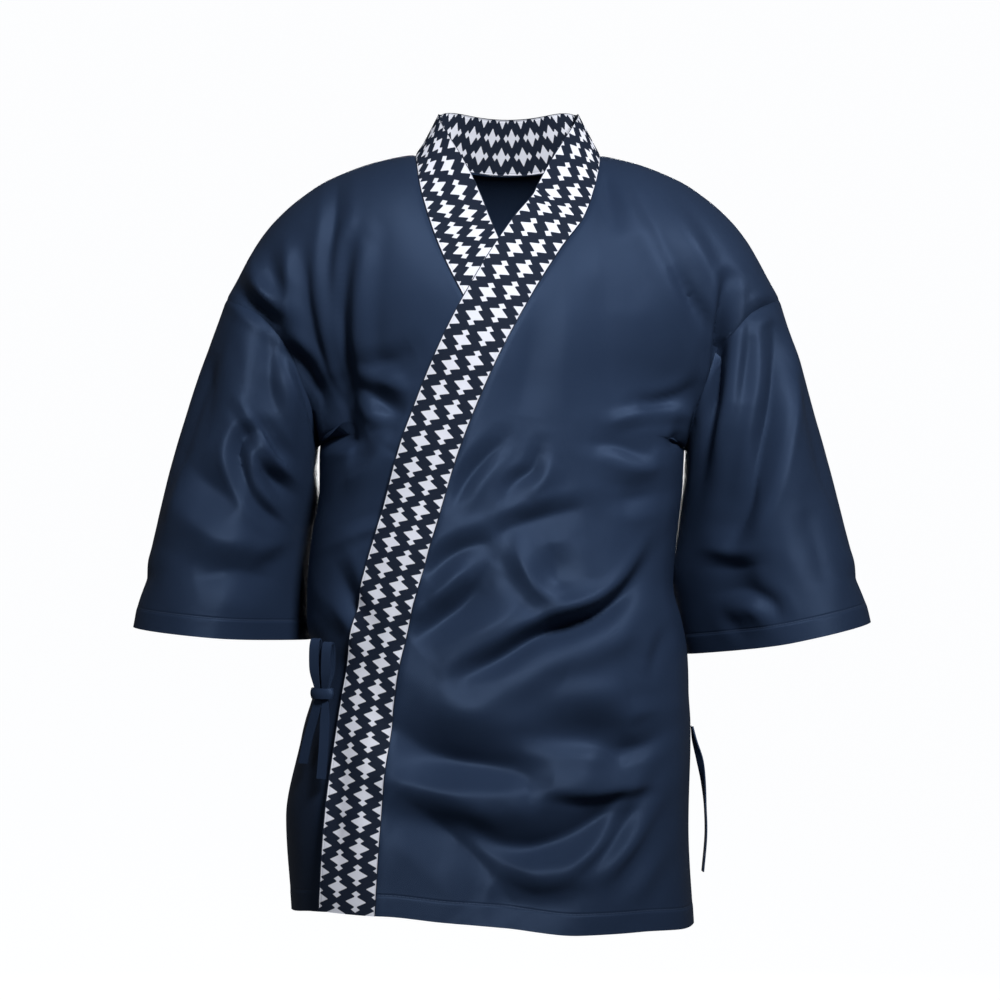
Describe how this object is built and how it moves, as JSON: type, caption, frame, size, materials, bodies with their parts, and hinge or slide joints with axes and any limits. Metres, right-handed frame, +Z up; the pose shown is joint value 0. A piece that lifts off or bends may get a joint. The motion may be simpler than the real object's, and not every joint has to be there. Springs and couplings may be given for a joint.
{
  "type": "happi coat",
  "caption": "Wrapped, thigh-length cotton work coat with wide half sleeves, a patterned collar band and tie closures, in its worn form.",
  "frame": {"origin": "on the shoulder line at the base of the neck, where the wearer holds the coat up", "axes": "+Z up along the coat's length; -Y towards the front; +X towards the wearer's left"},
  "size_m": [0.7492, 0.2728, 0.8263],
  "materials": {
    "cloth": "navy cotton-blend twill with a soft sheen",
    "collar": "matte white geometric check printed on navy",
    "tie": "narrow folded strips of the navy twill"
  },
  "bodies": {
    "root": {"back": "cloth", "front_left_over": "cloth", "front_right_under": "cloth", "sleeve_left": "cloth", "sleeve_right": "cloth", "collar_band": "collar", "bow_loop_outer": "tie", "bow_loop_inner": "tie", "bow_tail_straight": "tie", "bow_tail_slanted": "tie", "bow_knot": "tie", "side_tie": "tie"}
  },
  "joints": []
}
